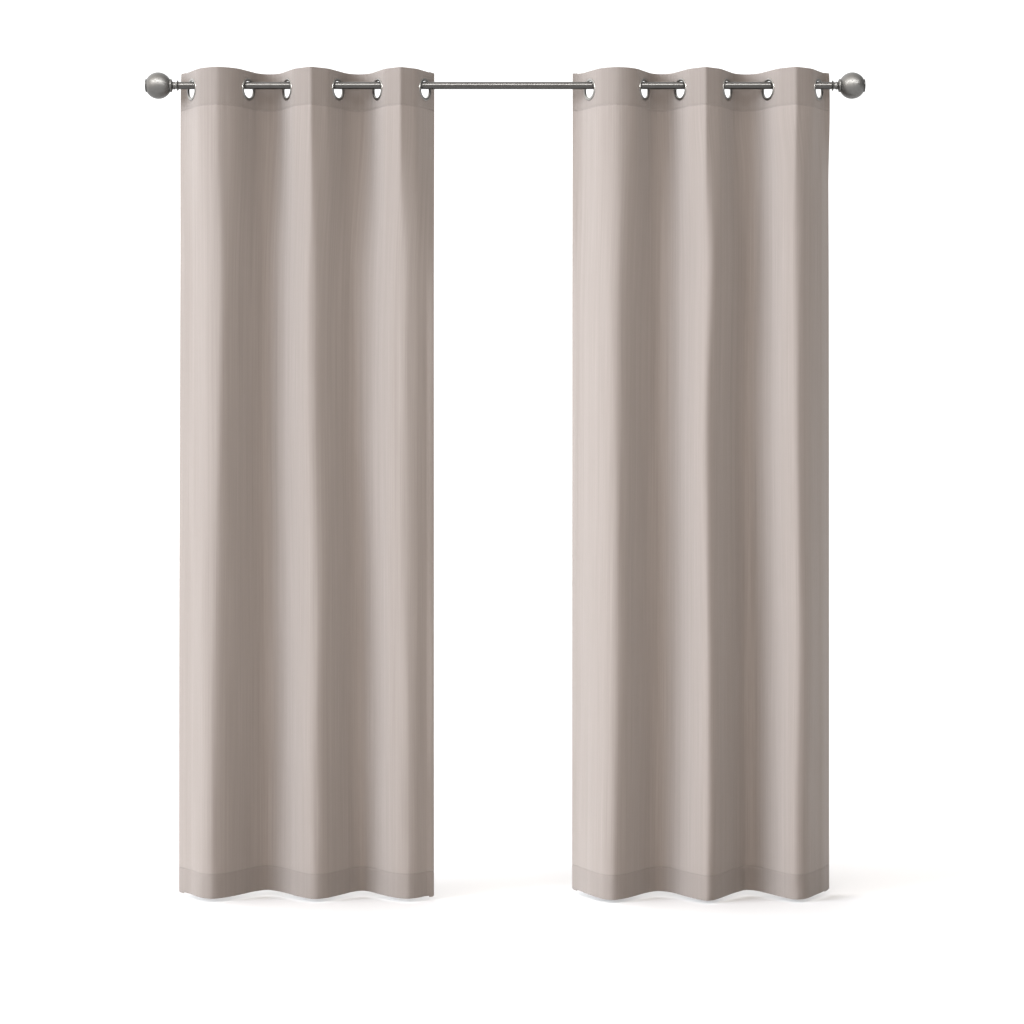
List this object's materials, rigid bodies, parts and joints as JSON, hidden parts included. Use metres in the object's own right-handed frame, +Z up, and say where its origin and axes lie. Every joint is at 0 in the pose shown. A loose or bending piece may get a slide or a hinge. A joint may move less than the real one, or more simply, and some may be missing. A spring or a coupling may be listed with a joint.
{
  "type": "window curtain set",
  "caption": "Grommet-top window curtains in soft vertical folds, hung on a slim extending metal rod with ball finials and hidden wall brackets.",
  "frame": {"origin": "centre of the four wall screw holes, on the wall plane, level with the middle of the rod", "axes": "+X along the rod to the right as seen from the room, +Y into the wall, +Z up"},
  "size_m": [1.8638, 0.1618, 2.134],
  "materials": {
    "rod_metal": "satin pewter plating",
    "finial_metal": "brushed pewter plating",
    "bracket_metal": "satin pewter plating",
    "fixing_steel": "zinc-plated steel",
    "grommet_metal": "satin nickel plating",
    "bush_plastic": "moulded acetal",
    "curtain_cloth": "slub weave, greige"
  },
  "bodies": {
    "rod_and_brackets": {"outer_rod_tube": "rod_metal", "slide_bush": "bush_plastic", "left_finial_plug": "fixing_steel", "left_finial_neck": "finial_metal", "left_finial_ball": "finial_metal", "left_finial_button": "finial_metal", "left_wall_plate": "bracket_metal", "left_bracket_arm": "bracket_metal", "left_rod_cradle": "bracket_metal", "right_wall_plate": "bracket_metal", "right_bracket_arm": "bracket_metal", "right_rod_cradle": "bracket_metal"},
    "rod_extension": {"inner_rod_tube": "rod_metal", "right_finial_plug": "fixing_steel", "right_finial_neck": "finial_metal", "right_finial_ball": "finial_metal", "right_finial_button": "finial_metal"},
    "left_thumb_screw": {"left_thumb_screw": "fixing_steel"},
    "right_thumb_screw": {"right_thumb_screw": "fixing_steel"},
    "left_fold_1": {"left_curtain_fold_1": "curtain_cloth", "left_grommet_front_1": "grommet_metal", "left_grommet_back_1": "grommet_metal"},
    "left_fold_2": {"left_curtain_fold_2": "curtain_cloth", "left_grommet_front_2": "grommet_metal", "left_grommet_back_2": "grommet_metal"},
    "left_fold_3": {"left_curtain_fold_3": "curtain_cloth", "left_grommet_front_3": "grommet_metal", "left_grommet_back_3": "grommet_metal"},
    "left_fold_4": {"left_curtain_fold_4": "curtain_cloth", "left_grommet_front_4": "grommet_metal", "left_grommet_back_4": "grommet_metal"},
    "left_fold_5": {"left_curtain_fold_5": "curtain_cloth", "left_grommet_front_5": "grommet_metal", "left_grommet_back_5": "grommet_metal"},
    "left_fold_6": {"left_curtain_fold_6": "curtain_cloth", "left_grommet_front_6": "grommet_metal", "left_grommet_back_6": "grommet_metal"},
    "right_fold_1": {"right_curtain_fold_1": "curtain_cloth", "right_grommet_front_1": "grommet_metal", "right_grommet_back_1": "grommet_metal"},
    "right_fold_2": {"right_curtain_fold_2": "curtain_cloth", "right_grommet_front_2": "grommet_metal", "right_grommet_back_2": "grommet_metal"},
    "right_fold_3": {"right_curtain_fold_3": "curtain_cloth", "right_grommet_front_3": "grommet_metal", "right_grommet_back_3": "grommet_metal"},
    "right_fold_4": {"right_curtain_fold_4": "curtain_cloth", "right_grommet_front_4": "grommet_metal", "right_grommet_back_4": "grommet_metal"},
    "right_fold_5": {"right_curtain_fold_5": "curtain_cloth", "right_grommet_front_5": "grommet_metal", "right_grommet_back_5": "grommet_metal"},
    "right_fold_6": {"right_curtain_fold_6": "curtain_cloth", "right_grommet_front_6": "grommet_metal", "right_grommet_back_6": "grommet_metal"}
  },
  "joints": [
    {"name": "rod_extend", "type": "slide", "parent": "rod_and_brackets", "child": "rod_extension", "axis": [1, 0, 0], "range_m": [0, 1.37]},
    {"name": "left_thumb_screw_turn", "type": "hinge", "parent": "rod_and_brackets", "child": "left_thumb_screw", "pos_m": [-0.777, -0.102, -0.02], "axis": [0, 0, -1], "range_deg": [-1080, 0]},
    {"name": "right_thumb_screw_turn", "type": "hinge", "parent": "rod_and_brackets", "child": "right_thumb_screw", "pos_m": [0.777, -0.102, -0.02], "axis": [0, 0, -1], "range_deg": [-1080, 0]},
    {"name": "left_curtain_gather", "type": "hinge", "parent": "rod_and_brackets", "child": "left_fold_1", "pos_m": [-0.811, -0.102, -0.0102], "axis": [0, 0, -1], "range_deg": [-16, 24]},
    {"name": "left_fold_2_turn", "type": "hinge", "parent": "left_fold_1", "child": "left_fold_2", "pos_m": [-0.738, -0.16118, -0.0102], "axis": [0, 0, -1], "range_deg": [-48, 32]},
    {"name": "left_fold_3_turn", "type": "hinge", "parent": "left_fold_2", "child": "left_fold_3", "pos_m": [-0.6145, -0.05581, -0.0102], "axis": [0, 0, -1], "range_deg": [-32, 48]},
    {"name": "left_fold_4_turn", "type": "hinge", "parent": "left_fold_3", "child": "left_fold_4", "pos_m": [-0.4985, -0.15685, -0.0102], "axis": [0, 0, -1], "range_deg": [-48, 32]},
    {"name": "left_fold_5_turn", "type": "hinge", "parent": "left_fold_4", "child": "left_fold_5", "pos_m": [-0.3815, -0.05523, -0.0102], "axis": [0, 0, -1], "range_deg": [-32, 48]},
    {"name": "left_fold_6_turn", "type": "hinge", "parent": "left_fold_5", "child": "left_fold_6", "pos_m": [-0.269, -0.15425, -0.0102], "axis": [0, 0, -1], "range_deg": [-48, 32]},
    {"name": "right_curtain_gather", "type": "hinge", "parent": "rod_and_brackets", "child": "right_fold_1", "pos_m": [0.811, -0.102, -0.0102], "axis": [0, 0, 1], "range_deg": [-16, 24]},
    {"name": "right_fold_2_turn", "type": "hinge", "parent": "right_fold_1", "child": "right_fold_2", "pos_m": [0.746, -0.15656, -0.0102], "axis": [0, 0, 1], "range_deg": [-48, 32]},
    {"name": "right_fold_3_turn", "type": "hinge", "parent": "right_fold_2", "child": "right_fold_3", "pos_m": [0.628, -0.05437, -0.0102], "axis": [0, 0, 1], "range_deg": [-32, 48]},
    {"name": "right_fold_4_turn", "type": "hinge", "parent": "right_fold_3", "child": "right_fold_4", "pos_m": [0.5145, -0.15396, -0.0102], "axis": [0, 0, 1], "range_deg": [-48, 32]},
    {"name": "right_fold_5_turn", "type": "hinge", "parent": "right_fold_4", "child": "right_fold_5", "pos_m": [0.407, -0.05783, -0.0102], "axis": [0, 0, 1], "range_deg": [-32, 48]},
    {"name": "right_fold_6_turn", "type": "hinge", "parent": "right_fold_5", "child": "right_fold_6", "pos_m": [0.2895, -0.15973, -0.0102], "axis": [0, 0, 1], "range_deg": [-48, 32]}
  ],
  "couplings": [
    {"joint": "left_fold_2_turn", "follows": "left_curtain_gather", "ratio": -2},
    {"joint": "left_fold_3_turn", "follows": "left_curtain_gather", "ratio": 2},
    {"joint": "left_fold_4_turn", "follows": "left_curtain_gather", "ratio": -2},
    {"joint": "left_fold_5_turn", "follows": "left_curtain_gather", "ratio": 2},
    {"joint": "left_fold_6_turn", "follows": "left_curtain_gather", "ratio": -2},
    {"joint": "right_fold_2_turn", "follows": "right_curtain_gather", "ratio": -2},
    {"joint": "right_fold_3_turn", "follows": "right_curtain_gather", "ratio": 2},
    {"joint": "right_fold_4_turn", "follows": "right_curtain_gather", "ratio": -2},
    {"joint": "right_fold_5_turn", "follows": "right_curtain_gather", "ratio": 2},
    {"joint": "right_fold_6_turn", "follows": "right_curtain_gather", "ratio": -2}
  ]
}
